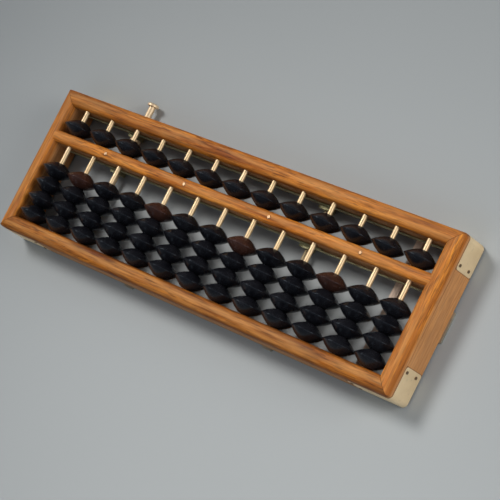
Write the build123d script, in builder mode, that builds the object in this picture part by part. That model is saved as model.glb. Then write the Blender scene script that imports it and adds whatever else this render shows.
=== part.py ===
"""Desk counting frame: thirteen rods, one upper and four lower beads on each, and a push-to-clear button.

The frame lies flat. X runs along the row of rods, Y points to the rear rail and the button, Z is up.
The origin is the middle of the whole outline, on the surface that the frame stands on. Millimetres.
"""

import os

from build123d import *

# Rods and beads
PITCH = 19.0
ROD_COUNT = 13
ROD_RADIUS = 1.2
ROD_Z = 15.7
ROD_SEAT = 5.0
ROD_END_GAP = 0.2
BEAD_RADIUS = 8.2
BEAD_THICKNESS = 8.2
BEAD_HUB_RADIUS = 2.5
BEAD_SHOULDER = (6.0, 2.0)
BEAD_RIM_FILLET = 0.2
BEAD_GAP = 0.05
TRIO_BEADS = 3
BEAD_HOLE_RADIUS = ROD_RADIUS + 0.08

# Wooden frame, from the front rail to the rear rail
RAIL_WIDTH = 8.2
LOWER_DECK = 42.5
BEAM_WIDTH = 6.2
BEAM_COPE = 2.4
UPPER_DECK = 13.9
INNER_HALF_LENGTH = 123.5
FOOT_HEIGHT = 1.2
SHOULDER_Z = 13.8
SHOULDER_STEP = 0.12
DOME_HEIGHT = 5.4
DOME_FULLNESS = 1.8
CORNER_RADIUS = 2.5
FIT_GAP = 0.02
OVERCUT = 1.0

# Brass corner brackets and their nails
PLATE = 0.6
BRACKET_LONG_LEG = 26.0
BRACKET_SHORT_LEG = 16.0
BRACKET_END_FILLET = 1.2
EDGE_TOLERANCE = 0.01
NAIL_HEIGHTS = (4.6, 12.2)
NAIL_INSET = 2.3
NAIL_SHANK_RADIUS = 0.35
NAIL_SHANK_LENGTH = 4.0
NAIL_TIP_GAP = 0.1
NAIL_HEAD_RADIUS = 0.75
NAIL_HEAD_HEIGHT = 0.35

# Unit pins on the beam and slide plates under the frame
UNIT_PIN_COLUMNS = (-4.5, -1.5, 1.5, 4.5)
UNIT_PIN_RADIUS = 0.95
UNIT_PIN_DEPTH = 4.0
UNIT_PIN_PROUD = 0.35
UNIT_PIN_FILLET = 0.28
FOOT_LIP = 1.0
FOOT_INSET = 5.0
FOOT_LENGTH = 6.0
FOOT_FILLET = 0.8
SIDE_FOOT_LENGTH = 15.0
FOOT_COLUMNS = (-2.5, 2.5)

# Clearing mechanism under the beads
STROKE = 6.0
SLIDE_Z = 4.3
SLIDE_ROD_RADIUS = 1.1
SLIDE_ROD_ENTRY = 1.0
SLIDE_END_GAP = 0.4
SLIDE_X = -4.53 * PITCH
GUIDE_X = 2.4 * PITCH
RUNNING_GAP = 0.06
BUTTON_RADIUS = 1.7
BUTTON_CAP_RADIUS = 3.1
BUTTON_CAP_HEIGHT = 1.5
BUTTON_CAP_FILLET = 0.9
BUTTON_CLEARANCE = 2.0
COLLAR_RADIUS = 3.0
COLLAR_LENGTH = 1.5
COLLAR_FILLET = 0.3
STRIP_THICKNESS = 0.6
STRIP_BOTTOM_Z = 7.8
STRIP_TOP_Z = 9.5
STRIP_PARKING = 0.4
STRIP_HALF_LENGTH = 122.0
STRIP_LAP_X = 3.0 * PITCH
STRIP_LAP_LENGTH = 5.0
LUG_STOP_GAP = 0.1
LUG_LENGTH = 2.4
LUG_WIDTH = 6.0
LUG_BOTTOM_Z = 2.2
SPRING_COIL_RADIUS = 1.75
SPRING_WIRE_RADIUS = 0.28
SPRING_TURNS = 6

# Strip of wood across the underside
BATTEN_COLUMN = 5.27
BATTEN_WIDTH = 4.0
BATTEN_TOP_Z = 3.0

# Places that follow from the sizes above
FRAME_DEPTH = 2 * RAIL_WIDTH + LOWER_DECK + BEAM_WIDTH + UPPER_DECK
BUTTON_OUT = STROKE + BUTTON_CLEARANCE + BUTTON_CAP_HEIGHT
FRONT_Y = -(FRAME_DEPTH + BUTTON_OUT - FOOT_LIP) / 2
FRONT_INNER_Y = FRONT_Y + RAIL_WIDTH
BEAM_FRONT_Y = FRONT_INNER_Y + LOWER_DECK
BEAM_BACK_Y = BEAM_FRONT_Y + BEAM_WIDTH
REAR_INNER_Y = BEAM_BACK_Y + UPPER_DECK
REAR_Y = REAR_INNER_Y + RAIL_WIDTH
MIDDLE_Y = (FRONT_Y + REAR_Y) / 2
HALF_LENGTH = INNER_HALF_LENGTH + RAIL_WIDTH
TOP_Z = SHOULDER_Z + DOME_HEIGHT
ROD_XS = [(index - (ROD_COUNT - 1) / 2) * PITCH for index in range(ROD_COUNT)]
LUG_FRONT_Y = REAR_INNER_Y - LUG_STOP_GAP - LUG_LENGTH
COLLAR_FRONT_Y = LUG_FRONT_Y - COLLAR_LENGTH

os.makedirs("parts", exist_ok=True)


def save(part, label):
    part.label = label
    export_step(part, f"parts/{label}.step")


def box_between(x_span, y_span, z_span, mode=Mode.ADD):
    """Block between two heights, drawn on the plane of its lower face."""
    with BuildSketch(Plane.XY.offset(z_span[0])) as outline:
        with Locations(((x_span[0] + x_span[1]) / 2, (y_span[0] + y_span[1]) / 2)):
            Rectangle(x_span[1] - x_span[0], y_span[1] - y_span[0])
    extrude(outline.sketch, amount=z_span[1] - z_span[0], mode=mode)


def round_along_y(points, radius, y_span, mode=Mode.ADD):
    """Round bars or bores along Y at each (x, z)."""
    with BuildSketch(Plane.XZ.offset(-y_span[1])) as outline:
        with Locations(*points):
            Circle(radius)
    extrude(outline.sketch, amount=y_span[1] - y_span[0], mode=mode)


def round_along_z(points, radius, z_span, mode=Mode.ADD):
    """Round posts or holes along Z at each (x, y)."""
    with BuildSketch(Plane.XY.offset(z_span[0])) as outline:
        with Locations(*points):
            Circle(radius)
    extrude(outline.sketch, amount=z_span[1] - z_span[0], mode=mode)


def rail(plane, middle, width, length, mode=Mode.ADD):
    """A bar with flat sides, narrow shoulders and a rounded top, its section drawn on the given plane."""
    left = middle - width / 2
    right = middle + width / 2
    dome = width / 2 - SHOULDER_STEP
    with BuildSketch(plane) as section:
        with BuildLine():
            Polyline((middle - dome, SHOULDER_Z), (left, SHOULDER_Z), (left, FOOT_HEIGHT))
            Line((left, FOOT_HEIGHT), (right, FOOT_HEIGHT))
            Polyline((right, FOOT_HEIGHT), (right, SHOULDER_Z), (middle + dome, SHOULDER_Z))
            dome_points = [(middle + dome, SHOULDER_Z), (middle, TOP_Z), (middle - dome, SHOULDER_Z)]
            dome_ends = [(0, 1), (-1, 0), (0, -1)]
            Spline(*dome_points, tangents=dome_ends, tangent_scalars=[DOME_FULLNESS] * 3)
        make_face()
    extrude(section.sketch, amount=length, mode=mode)


def mitre(outer_corners, inner_corners):
    """Keep the plan between two outer and two inner corners, with the frame's rounded outer corners."""
    with BuildSketch() as plan:
        with BuildLine():
            Polyline(*outer_corners, *reversed(inner_corners), close=True)
        make_face()
        with Locations((0, MIDDLE_Y)):
            RectangleRounded(2 * HALF_LENGTH, FRAME_DEPTH, CORNER_RADIUS, mode=Mode.INTERSECT)
    extrude(plan.sketch, amount=TOP_Z, mode=Mode.INTERSECT)


def nail_holes_along_y(face_y, inward):
    """Holes for the nails in the long legs of the brackets."""
    ends = sorted((face_y, face_y + inward * (NAIL_SHANK_LENGTH + NAIL_TIP_GAP)))
    round_along_y(LONG_LEG_NAILS, NAIL_SHANK_RADIUS + FIT_GAP, ends, Mode.SUBTRACT)


def bracket_sheet(side_x, side_y, grow):
    """Sheet brass bent round one outer corner, let in flush with the rails and rounded at its ends.

    Grown a little, the same shape is the recess that it sits in.
    """
    corner_x = side_x * HALF_LENGTH
    corner_y = MIDDLE_Y + side_y * FRAME_DEPTH / 2
    long_leg = BRACKET_LONG_LEG + grow
    short_leg = BRACKET_SHORT_LEG + grow
    inset = PLATE + grow
    with BuildPart() as sheet:
        with BuildSketch(Plane.XY.offset(FOOT_HEIGHT - grow)):
            with Locations((0, MIDDLE_Y)):
                RectangleRounded(2 * HALF_LENGTH + 2 * grow, FRAME_DEPTH + 2 * grow, CORNER_RADIUS + grow)
                inner_size = (2 * HALF_LENGTH - 2 * inset, FRAME_DEPTH - 2 * inset)
                RectangleRounded(*inner_size, CORNER_RADIUS - PLATE, mode=Mode.SUBTRACT)
            with Locations((corner_x, corner_y)):
                Rectangle(2 * long_leg, 2 * short_leg, mode=Mode.INTERSECT)
        extrude(amount=SHOULDER_Z - FOOT_HEIGHT + 2 * grow)
        end_x = corner_x - side_x * long_leg
        end_y = corner_y - side_y * short_leg
        at_end_x = (end_x - EDGE_TOLERANCE, end_x + EDGE_TOLERANCE)
        at_end_y = (end_y - EDGE_TOLERANCE, end_y + EDGE_TOLERANCE)
        fillet(sheet.edges().filter_by(Axis.Y).filter_by_position(Axis.X, *at_end_x), BRACKET_END_FILLET)
        fillet(sheet.edges().filter_by(Axis.X).filter_by_position(Axis.Y, *at_end_y), BRACKET_END_FILLET)
    return sheet.part


CORNERS = {
    "bracket_front_left": (-1, -1),
    "bracket_front_right": (1, -1),
    "bracket_rear_left": (-1, 1),
    "bracket_rear_right": (1, 1),
}
BRACKET_RECESSES = [bracket_sheet(*corner, FIT_GAP) for corner in CORNERS.values()]
LONG_LEG_NAIL_X = HALF_LENGTH - BRACKET_LONG_LEG + NAIL_INSET
LONG_LEG_NAILS = [(x, z) for x in (-LONG_LEG_NAIL_X, LONG_LEG_NAIL_X) for z in NAIL_HEIGHTS]
SHORT_LEG_NAIL_Y = FRAME_DEPTH / 2 - BRACKET_SHORT_LEG + NAIL_INSET
SHORT_LEG_NAILS = [(MIDDLE_Y + y, z) for y in (-SHORT_LEG_NAIL_Y, SHORT_LEG_NAIL_Y) for z in NAIL_HEIGHTS]
ROD_SEATS = [(x, ROD_Z) for x in ROD_XS]

# Rear rail: seats for the rods and the guide rod, and a bore for the button
with BuildPart() as rear_rail:
    rail(Plane.YZ.offset(-HALF_LENGTH), REAR_Y - RAIL_WIDTH / 2, RAIL_WIDTH, 2 * HALF_LENGTH)
    mitre(
        [(-HALF_LENGTH, REAR_Y), (HALF_LENGTH, REAR_Y)],
        [(-INNER_HALF_LENGTH, REAR_INNER_Y), (INNER_HALF_LENGTH, REAR_INNER_Y)],
    )
    seat_span = (REAR_INNER_Y, REAR_INNER_Y + ROD_SEAT)
    round_along_y(ROD_SEATS, ROD_RADIUS + FIT_GAP, seat_span, Mode.SUBTRACT)
    round_along_y([(GUIDE_X, SLIDE_Z)], SLIDE_ROD_RADIUS + FIT_GAP, seat_span, Mode.SUBTRACT)
    bore_span = (REAR_INNER_Y, REAR_Y)
    round_along_y([(SLIDE_X, SLIDE_Z)], BUTTON_RADIUS + RUNNING_GAP, bore_span, Mode.SUBTRACT)
    nail_holes_along_y(REAR_Y, -1)
    add(BRACKET_RECESSES, mode=Mode.SUBTRACT)
save(rear_rail.part, "rear_rail")

# Front rail: seats for the rods and the guide rod, and a deeper bore for the sliding rod
with BuildPart() as front_rail:
    rail(Plane.YZ.offset(-HALF_LENGTH), FRONT_Y + RAIL_WIDTH / 2, RAIL_WIDTH, 2 * HALF_LENGTH)
    mitre(
        [(-HALF_LENGTH, FRONT_Y), (HALF_LENGTH, FRONT_Y)],
        [(-INNER_HALF_LENGTH, FRONT_INNER_Y), (INNER_HALF_LENGTH, FRONT_INNER_Y)],
    )
    seat_span = (FRONT_INNER_Y - ROD_SEAT, FRONT_INNER_Y)
    round_along_y(ROD_SEATS, ROD_RADIUS + FIT_GAP, seat_span, Mode.SUBTRACT)
    round_along_y([(GUIDE_X, SLIDE_Z)], SLIDE_ROD_RADIUS + FIT_GAP, seat_span, Mode.SUBTRACT)
    bore_span = (FRONT_INNER_Y - SLIDE_ROD_ENTRY - STROKE - SLIDE_END_GAP, FRONT_INNER_Y)
    round_along_y([(SLIDE_X, SLIDE_Z)], SLIDE_ROD_RADIUS + RUNNING_GAP, bore_span, Mode.SUBTRACT)
    nail_holes_along_y(FRONT_Y, 1)
    add(BRACKET_RECESSES, mode=Mode.SUBTRACT)
save(front_rail.part, "front_rail")

# Side rails
for side, label in ((-1, "left_rail"), (1, "right_rail")):
    with BuildPart() as side_rail:
        rail(Plane.XZ.offset(-REAR_Y), side * (HALF_LENGTH - RAIL_WIDTH / 2), RAIL_WIDTH, FRAME_DEPTH)
        mitre(
            [(side * HALF_LENGTH, FRONT_Y), (side * HALF_LENGTH, REAR_Y)],
            [(side * INNER_HALF_LENGTH, FRONT_INNER_Y), (side * INNER_HALF_LENGTH, REAR_INNER_Y)],
        )
        with BuildSketch(Plane.YZ.offset(side * HALF_LENGTH)):
            with Locations(*SHORT_LEG_NAILS):
                Circle(NAIL_SHANK_RADIUS + FIT_GAP)
        extrude(amount=-side * (NAIL_SHANK_LENGTH + NAIL_TIP_GAP), mode=Mode.SUBTRACT)
        add(BRACKET_RECESSES, mode=Mode.SUBTRACT)
    save(side_rail.part, label)

# Beam between the decks, its ends cut to lie over the rounded side rails, bored for every rod
with BuildPart() as beam:
    beam_middle = BEAM_FRONT_Y + BEAM_WIDTH / 2
    beam_half_length = INNER_HALF_LENGTH + BEAM_COPE
    rail(Plane.YZ.offset(-beam_half_length), beam_middle, BEAM_WIDTH, 2 * beam_half_length)
    for side in (-1, 1):
        rail_middle = side * (HALF_LENGTH - RAIL_WIDTH / 2)
        rail(Plane.XZ.offset(-REAR_Y), rail_middle, RAIL_WIDTH + 2 * FIT_GAP, FRAME_DEPTH, Mode.SUBTRACT)
    beam_span = (BEAM_FRONT_Y - OVERCUT, BEAM_BACK_Y + OVERCUT)
    round_along_y(ROD_SEATS, ROD_RADIUS + FIT_GAP, beam_span, Mode.SUBTRACT)
    round_along_y([(GUIDE_X, SLIDE_Z)], SLIDE_ROD_RADIUS + FIT_GAP, beam_span, Mode.SUBTRACT)
    round_along_y([(SLIDE_X, SLIDE_Z)], SLIDE_ROD_RADIUS + RUNNING_GAP, beam_span, Mode.SUBTRACT)
    pin_places = [(column * PITCH, beam_middle) for column in UNIT_PIN_COLUMNS]
    pin_hole_span = (TOP_Z - UNIT_PIN_DEPTH, TOP_Z + OVERCUT)
    round_along_z(pin_places, UNIT_PIN_RADIUS + FIT_GAP, pin_hole_span, Mode.SUBTRACT)
    batten_x = BATTEN_COLUMN * PITCH
    notch_x = (batten_x - BATTEN_WIDTH / 2 - FIT_GAP, batten_x + BATTEN_WIDTH / 2 + FIT_GAP)
    box_between(notch_x, beam_span, (0, BATTEN_TOP_Z + FIT_GAP), Mode.SUBTRACT)
save(beam.part, "beam")

# Thirteen rods through the beam, seated in the front and rear rails
with BuildPart() as bead_rods:
    rod_span = (FRONT_INNER_Y - ROD_SEAT + ROD_END_GAP, REAR_INNER_Y + ROD_SEAT - ROD_END_GAP)
    round_along_y(ROD_SEATS, ROD_RADIUS, rod_span)
save(bead_rods.part, "bead_rods")


def bead(x, y_low):
    """One lens-shaped bead on the rod at x, with its front hub at y_low."""
    middle = y_low + BEAD_THICKNESS / 2
    shoulder_x, shoulder_y = BEAD_SHOULDER
    rim = (x + BEAD_RADIUS, middle)
    front_hub = (x + BEAD_HUB_RADIUS, y_low)
    back_hub = (x + BEAD_HUB_RADIUS, y_low + BEAD_THICKNESS)
    with BuildSketch(Plane.XY.offset(ROD_Z)) as half_section:
        with BuildLine():
            Polyline((x + BEAD_HOLE_RADIUS, y_low), front_hub)
            ThreePointArc(front_hub, (x + shoulder_x, middle - shoulder_y), rim)
            ThreePointArc(rim, (x + shoulder_x, middle + shoulder_y), back_hub)
            Polyline(back_hub, (x + BEAD_HOLE_RADIUS, y_low + BEAD_THICKNESS), (x + BEAD_HOLE_RADIUS, y_low))
        make_face()
        fillet(half_section.vertices().group_by(Axis.X)[-1], BEAD_RIM_FILLET)
    revolve(half_section.sketch, axis=Axis((x, 0, ROD_Z), (0, 1, 0)))


STACK_STEP = BEAD_THICKNESS + BEAD_GAP
for number, rod_x in enumerate(ROD_XS, start=1):
    with BuildPart() as upper_bead:
        bead(rod_x, BEAM_BACK_Y + BEAD_GAP)
    save(upper_bead.part, f"upper_bead_{number:02d}")
    with BuildPart() as lower_trio:
        for place in range(TRIO_BEADS):
            bead(rod_x, FRONT_INNER_Y + BEAD_GAP + place * STACK_STEP)
    save(lower_trio.part, f"lower_trio_{number:02d}")
    with BuildPart() as lower_bead:
        bead(rod_x, FRONT_INNER_Y + BEAD_GAP + TRIO_BEADS * STACK_STEP)
    save(lower_bead.part, f"lower_bead_{number:02d}")

# Corner brackets, with holes for their nails
for label, corner in CORNERS.items():
    sheet = bracket_sheet(*corner, 0)
    with BuildPart() as bracket:
        add(sheet)
        face_span = (MIDDLE_Y - FRAME_DEPTH, MIDDLE_Y + FRAME_DEPTH)
        round_along_y(LONG_LEG_NAILS, NAIL_SHANK_RADIUS + FIT_GAP, face_span, Mode.SUBTRACT)
        with BuildSketch(Plane.YZ.offset(-HALF_LENGTH - OVERCUT)):
            with Locations(*SHORT_LEG_NAILS):
                Circle(NAIL_SHANK_RADIUS + FIT_GAP)
        extrude(amount=2 * (HALF_LENGTH + OVERCUT), mode=Mode.SUBTRACT)
    save(bracket.part, label)

# Nails through the brackets
with BuildPart() as bracket_nails:
    for side in (-1, 1):
        rail_face = MIDDLE_Y + side * FRAME_DEPTH / 2
        head_face = rail_face + side * NAIL_HEAD_HEIGHT
        shank = sorted((rail_face - side * NAIL_SHANK_LENGTH, head_face))
        round_along_y(LONG_LEG_NAILS, NAIL_SHANK_RADIUS, shank)
        round_along_y(LONG_LEG_NAILS, NAIL_HEAD_RADIUS, sorted((rail_face, head_face)))
        with BuildSketch(Plane.YZ.offset(side * (HALF_LENGTH - NAIL_SHANK_LENGTH))):
            with Locations(*SHORT_LEG_NAILS):
                Circle(NAIL_SHANK_RADIUS)
        extrude(amount=side * (NAIL_SHANK_LENGTH + NAIL_HEAD_HEIGHT))
        with BuildSketch(Plane.YZ.offset(side * HALF_LENGTH)):
            with Locations(*SHORT_LEG_NAILS):
                Circle(NAIL_HEAD_RADIUS)
        extrude(amount=side * NAIL_HEAD_HEIGHT)
save(bracket_nails.part, "bracket_nails")

# Unit pins in the beam, with rounded heads
with BuildPart() as beam_pins:
    round_along_z(pin_places, UNIT_PIN_RADIUS, (TOP_Z - UNIT_PIN_DEPTH, TOP_Z + UNIT_PIN_PROUD))
    fillet(beam_pins.faces().group_by(Axis.Z)[-1].edges(), UNIT_PIN_FILLET)
save(beam_pins.part, "beam_pins")

# Slide plates under the rails, standing a little proud of them
with BuildPart() as foot_plates:
    for column in FOOT_COLUMNS:
        foot_x = (column * PITCH - FOOT_LENGTH / 2, column * PITCH + FOOT_LENGTH / 2)
        box_between(foot_x, (FRONT_Y - FOOT_LIP, FRONT_Y + FOOT_INSET), (0, FOOT_HEIGHT))
        box_between(foot_x, (REAR_Y - FOOT_INSET, REAR_Y + FOOT_LIP), (0, FOOT_HEIGHT))
    foot_y = (MIDDLE_Y - SIDE_FOOT_LENGTH / 2, MIDDLE_Y + SIDE_FOOT_LENGTH / 2)
    for side in (-1, 1):
        foot_x = sorted((side * (HALF_LENGTH - FOOT_INSET), side * (HALF_LENGTH + FOOT_LIP)))
        box_between(foot_x, foot_y, (0, FOOT_HEIGHT))
    fillet(foot_plates.edges().filter_by(Axis.Z), FOOT_FILLET)
save(foot_plates.part, "foot_plates")

# Thin batten glued between the front and rear rails, under the beam
with BuildPart() as brace_batten:
    batten_x = (BATTEN_COLUMN * PITCH - BATTEN_WIDTH / 2, BATTEN_COLUMN * PITCH + BATTEN_WIDTH / 2)
    box_between(batten_x, (FRONT_INNER_Y, REAR_INNER_Y), (FOOT_HEIGHT, BATTEN_TOP_Z))
save(brace_batten.part, "brace_batten")

# Fixed guide rod for the right-hand lugs of both strips
with BuildPart() as guide_rod:
    guide_span = (FRONT_INNER_Y - ROD_SEAT + ROD_END_GAP, REAR_INNER_Y + ROD_SEAT - ROD_END_GAP)
    round_along_y([(GUIDE_X, SLIDE_Z)], SLIDE_ROD_RADIUS, guide_span)
save(guide_rod.part, "guide_rod")

# Button: domed cap, thick shank through the rear rail, thin rod on into the front rail
with BuildPart() as reset_button:
    cap_y = REAR_Y + STROKE + BUTTON_CLEARANCE
    slide_place = [(SLIDE_X, SLIDE_Z)]
    round_along_y(slide_place, BUTTON_CAP_RADIUS, (cap_y, cap_y + BUTTON_CAP_HEIGHT))
    fillet(reset_button.faces().sort_by(Axis.Y)[-1].edges(), BUTTON_CAP_FILLET)
    round_along_y(slide_place, BUTTON_RADIUS, (REAR_INNER_Y - LUG_STOP_GAP, cap_y))
    round_along_y(slide_place, SLIDE_ROD_RADIUS, (FRONT_INNER_Y - SLIDE_ROD_ENTRY, cap_y))
save(reset_button.part, "reset_button")

# Collar that clamps the rear strip against the button's shank and carries the spring
with BuildPart() as shaft_collar:
    collar_span = (COLLAR_FRONT_Y, LUG_FRONT_Y)
    round_along_y(slide_place, COLLAR_RADIUS, collar_span)
    fillet(shaft_collar.edges().filter_by(GeomType.CIRCLE), COLLAR_FILLET)
    round_along_y(slide_place, SLIDE_ROD_RADIUS + FIT_GAP, collar_span, Mode.SUBTRACT)
save(shaft_collar.part, "shaft_collar")

# Return spring between the beam and the collar
with BuildPart() as return_spring:
    wire_start = BEAM_BACK_Y + SPRING_WIRE_RADIUS + FIT_GAP
    wire_end = COLLAR_FRONT_Y - SPRING_WIRE_RADIUS - FIT_GAP
    wire_pitch = (wire_end - wire_start) / SPRING_TURNS
    with BuildLine():
        coil = Helix(
            wire_pitch,
            wire_end - wire_start,
            SPRING_COIL_RADIUS,
            center=(SLIDE_X, wire_start, SLIDE_Z),
            direction=(0, 1, 0),
        )
    with BuildSketch(Plane(origin=coil @ 0, z_dir=coil % 0)):
        Circle(SPRING_WIRE_RADIUS)
    sweep(path=coil, is_frenet=True)
save(return_spring.part, "return_spring")


def strip_lugs(deck_end_y):
    """Lugs under a strip: a tight one on the button's rod and a running one on the guide rod."""
    lug_span = (deck_end_y - LUG_STOP_GAP - LUG_LENGTH, deck_end_y - LUG_STOP_GAP)
    for lug_x, bore in ((SLIDE_X, SLIDE_ROD_RADIUS + FIT_GAP), (GUIDE_X, SLIDE_ROD_RADIUS + RUNNING_GAP)):
        lug_width = (lug_x - LUG_WIDTH / 2, lug_x + LUG_WIDTH / 2)
        box_between(lug_width, lug_span, (LUG_BOTTOM_Z, STRIP_BOTTOM_Z))
        round_along_y([(lug_x, SLIDE_Z)], bore, lug_span, Mode.SUBTRACT)


# Upper strip on edge beside the beads, parked on the rear rail
with BuildPart() as upper_strip:
    strip_back = REAR_INNER_Y - STRIP_PARKING
    strip_span = (strip_back - STRIP_THICKNESS, strip_back)
    box_between((-STRIP_HALF_LENGTH, STRIP_HALF_LENGTH), strip_span, (STRIP_BOTTOM_Z, STRIP_TOP_Z))
    strip_lugs(REAR_INNER_Y)
save(upper_strip.part, "clearing_strip_upper")

# Lower strip, parked on the beam: a long piece with the lugs, and a short one lapped in front of it
with BuildPart() as lower_strip:
    strip_back = BEAM_FRONT_Y - STRIP_PARKING
    strip_span = (strip_back - STRIP_THICKNESS, strip_back)
    box_between((-STRIP_HALF_LENGTH, STRIP_LAP_X), strip_span, (STRIP_BOTTOM_Z, STRIP_TOP_Z))
    strip_lugs(BEAM_FRONT_Y)
save(lower_strip.part, "clearing_strip_lower")

with BuildPart() as strip_extension:
    extension_x = (STRIP_LAP_X - STRIP_LAP_LENGTH, STRIP_HALF_LENGTH)
    extension_span = (strip_span[0] - STRIP_THICKNESS, strip_span[0])
    box_between(extension_x, extension_span, (STRIP_BOTTOM_Z, STRIP_TOP_Z))
save(strip_extension.part, "clearing_strip_extension")
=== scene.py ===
import math

import bmesh
import bpy
from mathutils import Euler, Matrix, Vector


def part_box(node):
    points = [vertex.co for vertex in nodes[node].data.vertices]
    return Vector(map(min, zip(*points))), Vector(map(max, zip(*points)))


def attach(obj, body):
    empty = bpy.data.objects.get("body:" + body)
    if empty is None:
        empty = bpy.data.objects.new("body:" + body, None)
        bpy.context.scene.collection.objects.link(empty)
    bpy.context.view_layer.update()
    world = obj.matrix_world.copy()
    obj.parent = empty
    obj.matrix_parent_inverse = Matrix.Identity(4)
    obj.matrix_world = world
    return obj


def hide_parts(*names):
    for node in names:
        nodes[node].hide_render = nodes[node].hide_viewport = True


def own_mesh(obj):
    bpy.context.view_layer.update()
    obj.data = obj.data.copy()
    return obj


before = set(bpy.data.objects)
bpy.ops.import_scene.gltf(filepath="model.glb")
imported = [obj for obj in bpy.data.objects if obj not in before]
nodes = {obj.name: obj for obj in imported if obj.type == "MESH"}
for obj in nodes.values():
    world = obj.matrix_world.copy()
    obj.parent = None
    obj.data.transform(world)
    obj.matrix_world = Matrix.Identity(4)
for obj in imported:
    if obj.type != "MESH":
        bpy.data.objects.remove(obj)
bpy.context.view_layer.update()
scene = bpy.context.scene
MM = 0.001

# Camera at the photograph's viewing angle, placed from the front face of the beam
CAMERA_LENS = 147.22
CAMERA_SENSOR = 36.0
CAMERA_CLIP = (0.05, 20.0)
CAMERA_X = 0.63784
CAMERA_BEFORE_BEAM = 0.10501
CAMERA_Z = 0.72736
CAMERA_TURN = (25.545, 33.33, 32.57)

camera_data = bpy.data.cameras.new("camera")
camera_data.lens = CAMERA_LENS
camera_data.sensor_width = CAMERA_SENSOR
camera_data.clip_start, camera_data.clip_end = CAMERA_CLIP
camera = bpy.data.objects.new("camera", camera_data)
beam_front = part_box("beam")[0][1]
camera.location = (CAMERA_X, beam_front - CAMERA_BEFORE_BEAM, CAMERA_Z)
camera.rotation_euler = Euler([math.radians(angle) for angle in CAMERA_TURN])
scene.collection.objects.link(camera)
scene.camera = camera
scene.view_settings.view_transform = "Standard"

# Studio light: a soft pool from the left rear, a wide fill from the front and a low one from the right
SKY_COLOUR = (0.80, 0.86, 0.95, 1.0)
SKY_STRENGTH = 0.20
WARM_WHITE = (1.0, 0.97, 0.94)
COOL_WHITE = (0.93, 0.97, 1.0)
SIDE_WHITE = (1.0, 0.97, 0.93)

world = bpy.data.worlds.new("studio")
scene.world = world
world.use_nodes = True
world.node_tree.nodes["Background"].inputs["Color"].default_value = SKY_COLOUR
world.node_tree.nodes["Background"].inputs["Strength"].default_value = SKY_STRENGTH


def add_light(name, kind, location, target, energy, colour, **settings):
    data = bpy.data.lights.new(name, kind)
    data.energy = energy
    data.color = colour
    for key, value in settings.items():
        setattr(data, key, value)
    light = bpy.data.objects.new(name, data)
    light.location = location
    light.rotation_euler = (Vector(target) - Vector(location)).to_track_quat("-Z", "Y").to_euler()
    scene.collection.objects.link(light)


add_light(
    "key", "SPOT", location=(-0.52, 0.24, 0.98), target=(0.07, -0.12, 0.0), energy=100.0, colour=WARM_WHITE,
    shadow_soft_size=0.30, spot_size=math.radians(27.0), spot_blend=1.0,
)
add_light(
    "fill", "AREA", location=(0.35, -0.80, 0.85), target=(0.0, -0.05, 0.0), energy=3.0, colour=COOL_WHITE,
    shape="RECTANGLE", size=0.9, size_y=0.9,
)
add_light(
    "side", "AREA", location=(1.0, 0.30, 0.40), target=(0.05, 0.0, 0.0), energy=6.2, colour=SIDE_WHITE,
    shape="RECTANGLE", size=0.5, size_y=0.5,
)


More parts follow.
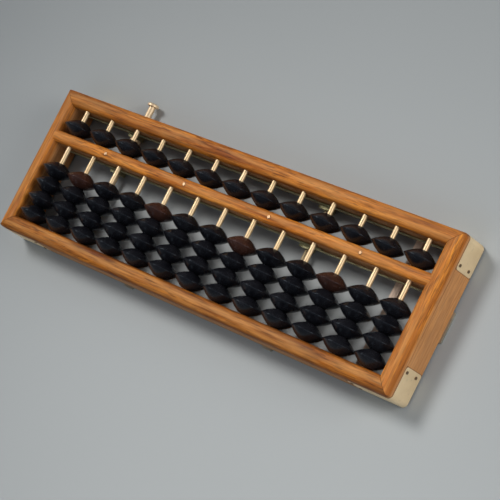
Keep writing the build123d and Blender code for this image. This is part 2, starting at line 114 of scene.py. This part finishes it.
class Tree:
    """A short way to write a node tree."""

    def __init__(self, name):
        self.material = bpy.data.materials.new(name)
        self.material.use_nodes = True
        self.tree = self.material.node_tree
        self.shader = self.tree.nodes["Principled BSDF"]

    def node(self, kind, **settings):
        made = self.tree.nodes.new(kind)
        for key, value in settings.items():
            setattr(made, key, value)
        return made

    def put(self, socket, value):
        """Link a socket's output in, or set a constant. None leaves the socket as it is."""
        if isinstance(value, bpy.types.NodeSocket):
            self.tree.links.new(value, socket)
        elif value is not None:
            socket.default_value = value

    def coords(self, scale, offset=(0, 0, 0)):
        mapping = self.node("ShaderNodeMapping")
        self.put(mapping.inputs["Vector"], self.node("ShaderNodeTexCoord").outputs["Object"])
        mapping.inputs["Scale"].default_value = scale
        mapping.inputs["Location"].default_value = offset
        return mapping.outputs["Vector"]

    def noise(self, scale, offset=(0, 0, 0), detail=4.0, roughness=0.6, distortion=0.0):
        """Noise over object coordinates, its cells 1 / scale metres along each axis."""
        made = self.node("ShaderNodeTexNoise")
        self.put(made.inputs["Vector"], self.coords(scale, offset))
        made.inputs["Scale"].default_value = 1.0
        made.inputs["Detail"].default_value = detail
        made.inputs["Roughness"].default_value = roughness
        made.inputs["Distortion"].default_value = distortion
        return made.outputs["Fac"]

    def ramp(self, factor, stops):
        made = self.node("ShaderNodeValToRGB")
        self.put(made.inputs["Fac"], factor)
        ramp = made.color_ramp
        while len(ramp.elements) < len(stops):
            ramp.elements.new(0.5)
        for element, (place, colour) in zip(ramp.elements, stops):
            element.position = place
            element.color = (*colour, 1.0)
        return made.outputs["Color"]

    def math(self, operation, a, b=None):
        made = self.node("ShaderNodeMath", operation=operation)
        self.put(made.inputs[0], a)
        self.put(made.inputs[1], b)
        return made.outputs[0]

    def product(self, first, *others):
        for other in others:
            first = self.math("MULTIPLY", first, other)
        return first

    def distance(self, value, place):
        return self.math("ABSOLUTE", self.math("SUBTRACT", value, place))

    def span(self, value, low, high, to_low=0.0, to_high=1.0):
        """Map low..high to to_low..to_high, held at the ends."""
        made = self.node("ShaderNodeMapRange", clamp=True)
        self.put(made.inputs["Value"], value)
        made.inputs["From Min"].default_value = low
        made.inputs["From Max"].default_value = high
        made.inputs["To Min"].default_value = to_low
        made.inputs["To Max"].default_value = to_high
        return made.outputs["Result"]

    def mix(self, factor, a, b, blend="MIX"):
        made = self.node("ShaderNodeMix", data_type="RGBA", blend_type=blend)
        self.put(made.inputs["Factor"], factor)
        colours = [s for s in made.inputs if s.type == "RGBA"]
        for socket, value in zip(colours, (a, b)):
            self.put(socket, (*value, 1.0) if isinstance(value, tuple) else value)
        return [s for s in made.outputs if s.type == "RGBA"][0]

    def place(self):
        """Object coordinates as x, y, z in millimetres."""
        split = self.node("ShaderNodeSeparateXYZ")
        self.put(split.inputs[0], self.coords((1 / MM, 1 / MM, 1 / MM)))
        return split.outputs

    def base(self, colour, roughness):
        self.put(self.shader.inputs["Base Color"], colour)
        self.put(self.shader.inputs["Roughness"], roughness)

    def bump(self, height, strength, distance):
        made = self.node("ShaderNodeBump")
        made.inputs["Strength"].default_value = strength
        made.inputs["Distance"].default_value = distance
        self.put(made.inputs["Height"], height)
        self.put(self.shader.inputs["Normal"], made.outputs["Normal"])


def paint(material, *names):
    """Give CAD nodes a better material; their shape and place stay as they are."""
    for name in names:
        mesh = nodes[name].data
        mesh.materials.clear()
        mesh.materials.append(material)


# Places on the wooden frame, in millimetres
MIDDLE_Y = (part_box("front_rail")[0][1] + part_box("rear_rail")[1][1]) / 2 / MM
BRACKET_END_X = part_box("bracket_rear_right")[0][0] / MM
BRACKET_END_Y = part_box("bracket_rear_right")[0][1] / MM - MIDDLE_Y
OUTER_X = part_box("right_rail")[1][0] / MM
OUTER_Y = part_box("rear_rail")[1][1] / MM - MIDDLE_Y
OUTER_SKIN = 1.0
INNER_X = 123.5
INNER_Y = 31.3
SHOULDER_Z = 13.8
BRACKET_TOP_Z = 13.9
BRACKET_LINE_Z = 13.95
PALE_SIDE_FADE = (14.6, 16.4)
CROWN_FADE = (18.2, 19.2)

# Wood grain: noise scales across the grain, and how much longer the cells are along it
GRAIN_STRETCH = 14
FIGURE_SCALE = 22.0
FINE_SCALE = 75.0
PORE_SCALE = 120.0
RUB_SCALE = 30.0
PATCH_SCALE = 18

# Wood colours
FIGURE_STOPS = [
    (0.36, (0.22, 0.050, 0.004)),
    (0.46, (0.40, 0.110, 0.008)),
    (0.54, (0.54, 0.165, 0.013)),
    (0.64, (0.72, 0.250, 0.026)),
]
FINE_GRAIN = (0.22, 0.058, 0.006)
PORE = (0.08, 0.020, 0.004)
FADED_PATCH = (0.56, 0.23, 0.055)
# Bare side wood, painted paler as painted light
BARE_AND_LIT_SIDE = ((0.52, 0.285, 0.130), (0.43, 0.215, 0.090))
WORN_CROWN = (0.70, 0.34, 0.10)
SHOULDER_SHADE = (0.07, 0.02, 0.005)
# Dark colour of the mitre joints, also used as painted shade along the bracket edges
JOINT_DIRT_AND_EDGE_SHADE = (0.06, 0.018, 0.005)
SEAM_SHADE = (0.05, 0.016, 0.005)
BATTEN_STOPS = [
    (0.3, (0.54, 0.40, 0.29)),
    (0.6, (0.76, 0.58, 0.45)),
    (0.8, (0.86, 0.69, 0.55)),
]


def frame_wood(name, along_x, seed, painted_shade=1.0):
    """Stained wood with its grain along the bar; painted_shade multiplies one bar's colour to paint shade on
    it against the others.
    """
    t = Tree(name)
    x, y, z = t.place()
    stretch = (1, GRAIN_STRETCH, GRAIN_STRETCH) if along_x else (GRAIN_STRETCH, 1, GRAIN_STRETCH)

    def grain(scale, *settings):
        return t.noise([part * scale for part in stretch], *settings)

    figure = grain(FIGURE_SCALE, (seed, seed * 0.7, seed * 1.3), 5.0, 0.6, 0.6)
    fine = grain(FINE_SCALE, (seed * 2.1, 0.4, seed), 3.0, 0.65)
    pores = grain(PORE_SCALE, (3.1, seed, 0.2), 2.0, 0.5)
    patches = t.noise((PATCH_SCALE, PATCH_SCALE, PATCH_SCALE), (seed, 1.0, 2.0), 2.0, 0.5)
    colour = t.ramp(figure, FIGURE_STOPS)
    colour = t.mix(t.span(fine, 0.44, 0.60, 0.0, 0.68), colour, FINE_GRAIN)
    colour = t.mix(t.span(pores, 0.54, 0.62, 0.0, 0.7), colour, PORE)
    colour = t.mix(t.span(patches, 0.35, 0.7, 0.0, 0.35), colour, FADED_PATCH)
    # Painted shade: the whole bar's colour darkened by the factor
    colour = t.mix(1.0, colour, (painted_shade, painted_shade, painted_shade), "MULTIPLY")
    # The flat sides below the shoulders are barer than the varnished tops, and painted paler as painted light
    side = t.span(z, *PALE_SIDE_FADE, 1.0, 0.0)
    colour = t.mix(t.product(side, 0.72), colour, t.mix(t.span(fine, 0.35, 0.65), *BARE_AND_LIT_SIDE))
    # Worn line along the crown of the rounded top
    rub = t.span(grain(RUB_SCALE, (9.0, seed, 4.0), 3.0, 0.55), 0.42, 0.62)
    colour = t.mix(t.product(t.span(z, *CROWN_FADE), rub, 0.4), colour, WORN_CROWN)
    # Painted shade: a dark hairline along the shoulder crease
    colour = t.mix(t.span(t.distance(z, SHOULDER_Z), 0.0, 0.22, 0.25, 0.0), colour, SHOULDER_SHADE)
    # Dark line on the mitres, which run through the inner corners at 45 degrees
    from_middle = t.distance(y, MIDDLE_Y)
    past_x = t.math("SUBTRACT", t.math("ABSOLUTE", x), INNER_X)
    past_y = t.math("SUBTRACT", from_middle, INNER_Y)
    in_corner = t.math("GREATER_THAN", t.math("MINIMUM", past_x, past_y), 0.0)
    mitre = t.product(t.span(t.distance(past_x, past_y), 0.0, 0.28, 0.85, 0.0), in_corner)
    colour = t.mix(mitre, colour, JOINT_DIRT_AND_EDGE_SHADE)
    # Painted shade round each bracket on the outer faces: in the seam at its end and along its top edge
    along, outward = (t.math("ABSOLUTE", x), from_middle) if along_x else (from_middle, t.math("ABSOLUTE", x))
    leg_end, outer_face = (BRACKET_END_X, OUTER_Y) if along_x else (BRACKET_END_Y, OUTER_X)
    outside = t.math("GREATER_THAN", outward, outer_face - OUTER_SKIN)
    below_top = t.math("LESS_THAN", z, BRACKET_TOP_Z)
    bracket_seam_shade = t.product(t.span(t.distance(along, leg_end), 0.0, 0.45, 0.8, 0.0), below_top, outside)
    colour = t.mix(bracket_seam_shade, colour, SEAM_SHADE)
    past_end = t.math("GREATER_THAN", along, leg_end)
    bracket_edge_shade = t.product(t.span(t.distance(z, BRACKET_LINE_Z), 0.05, 0.4, 0.75, 0.0), past_end, outside)
    # Painted shade along the bracket's top edge
    colour = t.mix(bracket_edge_shade, colour, JOINT_DIRT_AND_EDGE_SHADE)
    t.base(colour, t.math("ADD", t.span(fine, 0.3, 0.7, 0.46, 0.62), t.product(side, 0.12)))
    t.shader.inputs["Specular IOR Level"].default_value = 0.16
    relief = t.math("ADD", figure, t.product(fine, 0.6))
    t.bump(t.math("SUBTRACT", relief, t.product(mitre, 1.5)), 0.35, 0.00035)
    return t.material


# The front and rear rails get painted shade: their colour is darkened to 0.62 and 0.9
paint(frame_wood("wood_front", True, 1.0, 0.62), "front_rail")
paint(frame_wood("wood_rear", True, 5.0, 0.9), "rear_rail")
paint(frame_wood("wood_beam", True, 9.0), "beam")
paint(frame_wood("wood_left", False, 13.0), "left_rail")
paint(frame_wood("wood_right", False, 17.0), "right_rail")


def batten_wood():
    t = Tree("batten_wood")
    grain = t.noise((900, 45, 900))
    t.base(t.ramp(grain, BATTEN_STOPS), t.span(grain, 0.3, 0.7, 0.55, 0.75))
    t.bump(grain, 0.3, 0.0003)
    return t.material


paint(batten_wood(), "brace_batten")

# Brushing of the metals: fine all round, or drawn along Y or X
FINE_BRUSH = (600, 600, 600)
DRAWN_ALONG_Y = (500, 40, 500)
DRAWN_ALONG_X = (40, 500, 500)
SHEET_BRUSH = (160, 160, 1200)
COARSE_BRUSH = (300, 300, 300)
TARNISH_SPOT = (0.10, 0.055, 0.025)
VARNISH_STAIN_AND_SHADE = (0.055, 0.022, 0.008)


def metal(
    name, light, dark, rough, brush=FINE_BRUSH, metallic=1.0, spots=0.0, bump=0.15, stained_and_shaded_at=(),
):
    """Brushed metal clouded between two tones, with tarnish spots, and varnish stain and painted shade at the
    given Y in mm.
    """
    t = Tree(name)
    brushed = t.noise(brush, detail=3.0)
    cloud = t.noise((70, 70, 70))
    colour = t.mix(t.span(cloud, 0.3, 0.7), dark, light)
    if spots:
        speck = t.noise((420, 420, 420), (4, 4, 4), 2.0, 0.5)
        colour = t.mix(t.span(speck, 0.64, 0.76, 0.0, spots), colour, TARNISH_SPOT)
    # Varnish stain and painted shade where the rod enters the wood
    for face_y in stained_and_shaded_at:
        stain_and_shade = t.span(t.distance(t.place()[1], face_y), 0.3, 1.1, 0.9, 0.0)
        colour = t.mix(stain_and_shade, colour, VARNISH_STAIN_AND_SHADE)
    t.base(colour, t.span(brushed, 0.3, 0.7, rough - 0.03, rough + 0.05))
    t.shader.inputs["Metallic"].default_value = metallic
    t.bump(brushed, bump, 0.00012)
    return t.material


# Where the rods come out of the front rail and the beam
ROD_FACES = (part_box("front_rail")[1][1] / MM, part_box("beam")[1][1] / MM)

rod_brass = metal(
    "rod_brass", (0.74, 0.57, 0.36), (0.62, 0.46, 0.26), 0.48, DRAWN_ALONG_Y,
    metallic=0.85, bump=0.02, stained_and_shaded_at=ROD_FACES,
)
guide_brass = metal(
    "guide_brass", (0.50, 0.40, 0.25), (0.34, 0.26, 0.14), 0.48, DRAWN_ALONG_Y, metallic=0.85, spots=0.2,
)
pin_brass = metal("pin_brass", (0.52, 0.36, 0.22), (0.36, 0.22, 0.12), 0.44)
bracket_brass = metal(
    "bracket_brass", (0.97, 0.77, 0.49), (0.84, 0.64, 0.38), 0.48, SHEET_BRUSH, metallic=0.6, spots=0.12,
)
nail_steel = metal("nail_steel", (0.30, 0.22, 0.15), (0.14, 0.09, 0.06), 0.38)
foot_metal = metal(
    "foot_metal", (0.52, 0.50, 0.42), (0.34, 0.32, 0.26), 0.5, COARSE_BRUSH, metallic=0.8, spots=0.3,
)
button_brass = metal(
    "button_brass", (0.80, 0.64, 0.44), (0.68, 0.52, 0.33), 0.52, DRAWN_ALONG_Y,
    metallic=0.7, spots=0.08, bump=0.02,
)
strip_brass = metal(
    "strip_brass", (0.46, 0.44, 0.25), (0.28, 0.26, 0.14), 0.46, DRAWN_ALONG_X,
    metallic=0.7, spots=0.3, bump=0.03,
)
spring_brass = metal("spring_brass", (0.62, 0.46, 0.24), (0.42, 0.30, 0.14), 0.42, metallic=0.9)

paint(rod_brass, "bead_rods")
paint(guide_brass, "guide_rod")
paint(pin_brass, "beam_pins")
paint(bracket_brass, "bracket_front_left", "bracket_front_right", "bracket_rear_left", "bracket_rear_right")
paint(nail_steel, "bracket_nails")
paint(foot_metal, "foot_plates")
paint(button_brass, "reset_button", "shaft_collar")
paint(strip_brass, "clearing_strip_upper", "clearing_strip_lower", "clearing_strip_extension")

SPRING_WIRE = 0.28 * MM
SPRING_TURNS = 7
SPRING_STEPS = 28
SPRING_END_PITCH = 0.45


def return_spring():
    """A coil with closed ends, between the beam and the collar."""
    low, high = (Vector(corner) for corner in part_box("return_spring"))
    middle = (low + high) / 2
    coil_radius = (high.x - low.x) / 2 - SPRING_WIRE
    start = low.y + SPRING_WIRE
    length = high.y - low.y - 2 * SPRING_WIRE
    curve = bpy.data.curves.new("spring_path", "CURVE")
    curve.dimensions = "3D"
    curve.bevel_depth = SPRING_WIRE
    curve.bevel_resolution = 4
    curve.use_fill_caps = True
    path = curve.splines.new("POLY")
    steps = SPRING_TURNS * SPRING_STEPS
    path.points.add(steps)
    for index, point in enumerate(path.points):
        along = index / steps
        turn = 2 * math.pi * SPRING_TURNS * along
        eased = along - (1 - SPRING_END_PITCH) * math.sin(2 * math.pi * along) / (2 * math.pi)
        x = middle.x + coil_radius * math.cos(turn)
        z = middle.z + coil_radius * math.sin(turn)
        point.co = (x, start + length * eased, z, 1.0)
    carrier = bpy.data.objects.new("spring_path", curve)
    mesh = bpy.data.meshes.new_from_object(carrier)
    bpy.data.objects.remove(carrier)
    mesh.name = "spring_coil"
    mesh.materials.clear()
    mesh.materials.append(spring_brass)
    mesh.polygons.foreach_set("use_smooth", [True] * len(mesh.polygons))
    coil = bpy.data.objects.new("spring_coil", mesh)
    scene.collection.objects.link(coil)
    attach(coil, "frame")
    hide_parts("return_spring")
    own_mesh(coil)


return_spring()

LACQUER_SCUFF = (0.03, 0.03, 0.034)
LACQUER_SHEEN = (0.66, 0.84, 1.0, 1.0)


def bead_lacquer(name, base, cloudy, seed):
    """Glossy lacquer clouded between two tones, with faint scuffs."""
    t = Tree(name)
    cloud = t.noise((160, 160, 160), (seed, seed, seed))
    scuff = t.noise((900, 240, 900), (seed, 2, 3), 3.0)
    colour = t.mix(t.span(cloud, 0.35, 0.7), base, cloudy)
    colour = t.mix(t.span(scuff, 0.62, 0.80, 0.0, 0.15), colour, LACQUER_SCUFF)
    t.base(colour, t.math("ADD", t.span(cloud, 0.3, 0.7, 0.20, 0.30), t.span(scuff, 0.6, 0.8, 0.0, 0.12)))
    t.shader.inputs["Specular IOR Level"].default_value = 0.30
    t.shader.inputs["Specular Tint"].default_value = LACQUER_SHEEN
    t.bump(t.math("ADD", cloud, t.product(scuff, 0.3)), 0.05, 0.0002)
    return t.material


black = bead_lacquer("bead_black", (0.005, 0.005, 0.007), (0.012, 0.012, 0.015), 1.0)
brown = bead_lacquer("bead_brown", (0.030, 0.013, 0.010), (0.060, 0.024, 0.016), 7.0)
ROD_COUNT = 13
BROWN_LOWER = (2, 5, 8, 11)
for number in range(1, ROD_COUNT + 1):
    tag = f"{number:02d}"
    paint(black, f"upper_bead_{tag}", f"lower_trio_{tag}")
    paint(brown if number in BROWN_LOWER else black, f"lower_bead_{tag}")

FLOOR_HALF_SIZE = 3.0
FLOOR_CELLS = 8
FLOOR_TONES = ((0.355, 0.378, 0.384), (0.385, 0.408, 0.414))


def floor():
    mesh = bpy.data.meshes.new("floor")
    made = bmesh.new()
    bmesh.ops.create_grid(made, x_segments=FLOOR_CELLS, y_segments=FLOOR_CELLS, size=FLOOR_HALF_SIZE)
    made.to_mesh(mesh)
    made.free()
    obj = bpy.data.objects.new("floor", mesh)
    scene.collection.objects.link(obj)
    t = Tree("floor")
    t.base(t.mix(t.noise((3, 3, 3), detail=2.0, roughness=0.5), *FLOOR_TONES), 0.85)
    t.shader.inputs["Specular IOR Level"].default_value = 0.2
    mesh.materials.append(t.material)


floor()
